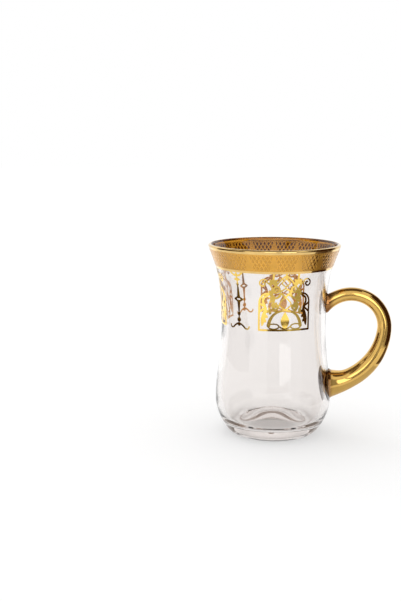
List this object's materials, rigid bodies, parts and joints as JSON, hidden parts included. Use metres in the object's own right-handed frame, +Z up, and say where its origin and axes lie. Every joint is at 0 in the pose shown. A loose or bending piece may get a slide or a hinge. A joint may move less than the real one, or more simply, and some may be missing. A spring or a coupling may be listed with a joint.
{
  "type": "turkish tea glass with handle",
  "caption": "Waisted clear tea glass with a flared lip and a gilded loop handle, a gold net band under the lip and gold scroll panels and lamp pendants around the upper wall.",
  "frame": {"origin": "on the axis of the glass, in the plane of the ring that it stands on", "axes": "+Z up along the axis of the glass, +X towards the handle, -Y towards the side with the front scroll panel"},
  "size_m": [0.0874, 0.0628, 0.0911],
  "materials": {
    "clear_glass": "clear polished glass",
    "bright_gold": "bright fired gold",
    "net_gold": "matt fired gold with a bright raised net",
    "handle_gold": "bright fired gold"
  },
  "bodies": {
    "root": {"glass_body": "clear_glass", "handle_core": "clear_glass", "handle_gilding": "handle_gold", "lip_gilding": "bright_gold", "band_upper_line": "bright_gold", "rim_band": "net_gold", "band_lower_line": "bright_gold", "scroll_panel_front": "bright_gold", "scroll_panel_far": "bright_gold", "scroll_panel_back": "bright_gold", "lamp_pendant_front": "bright_gold", "lamp_pendant_back": "bright_gold"}
  },
  "joints": []
}
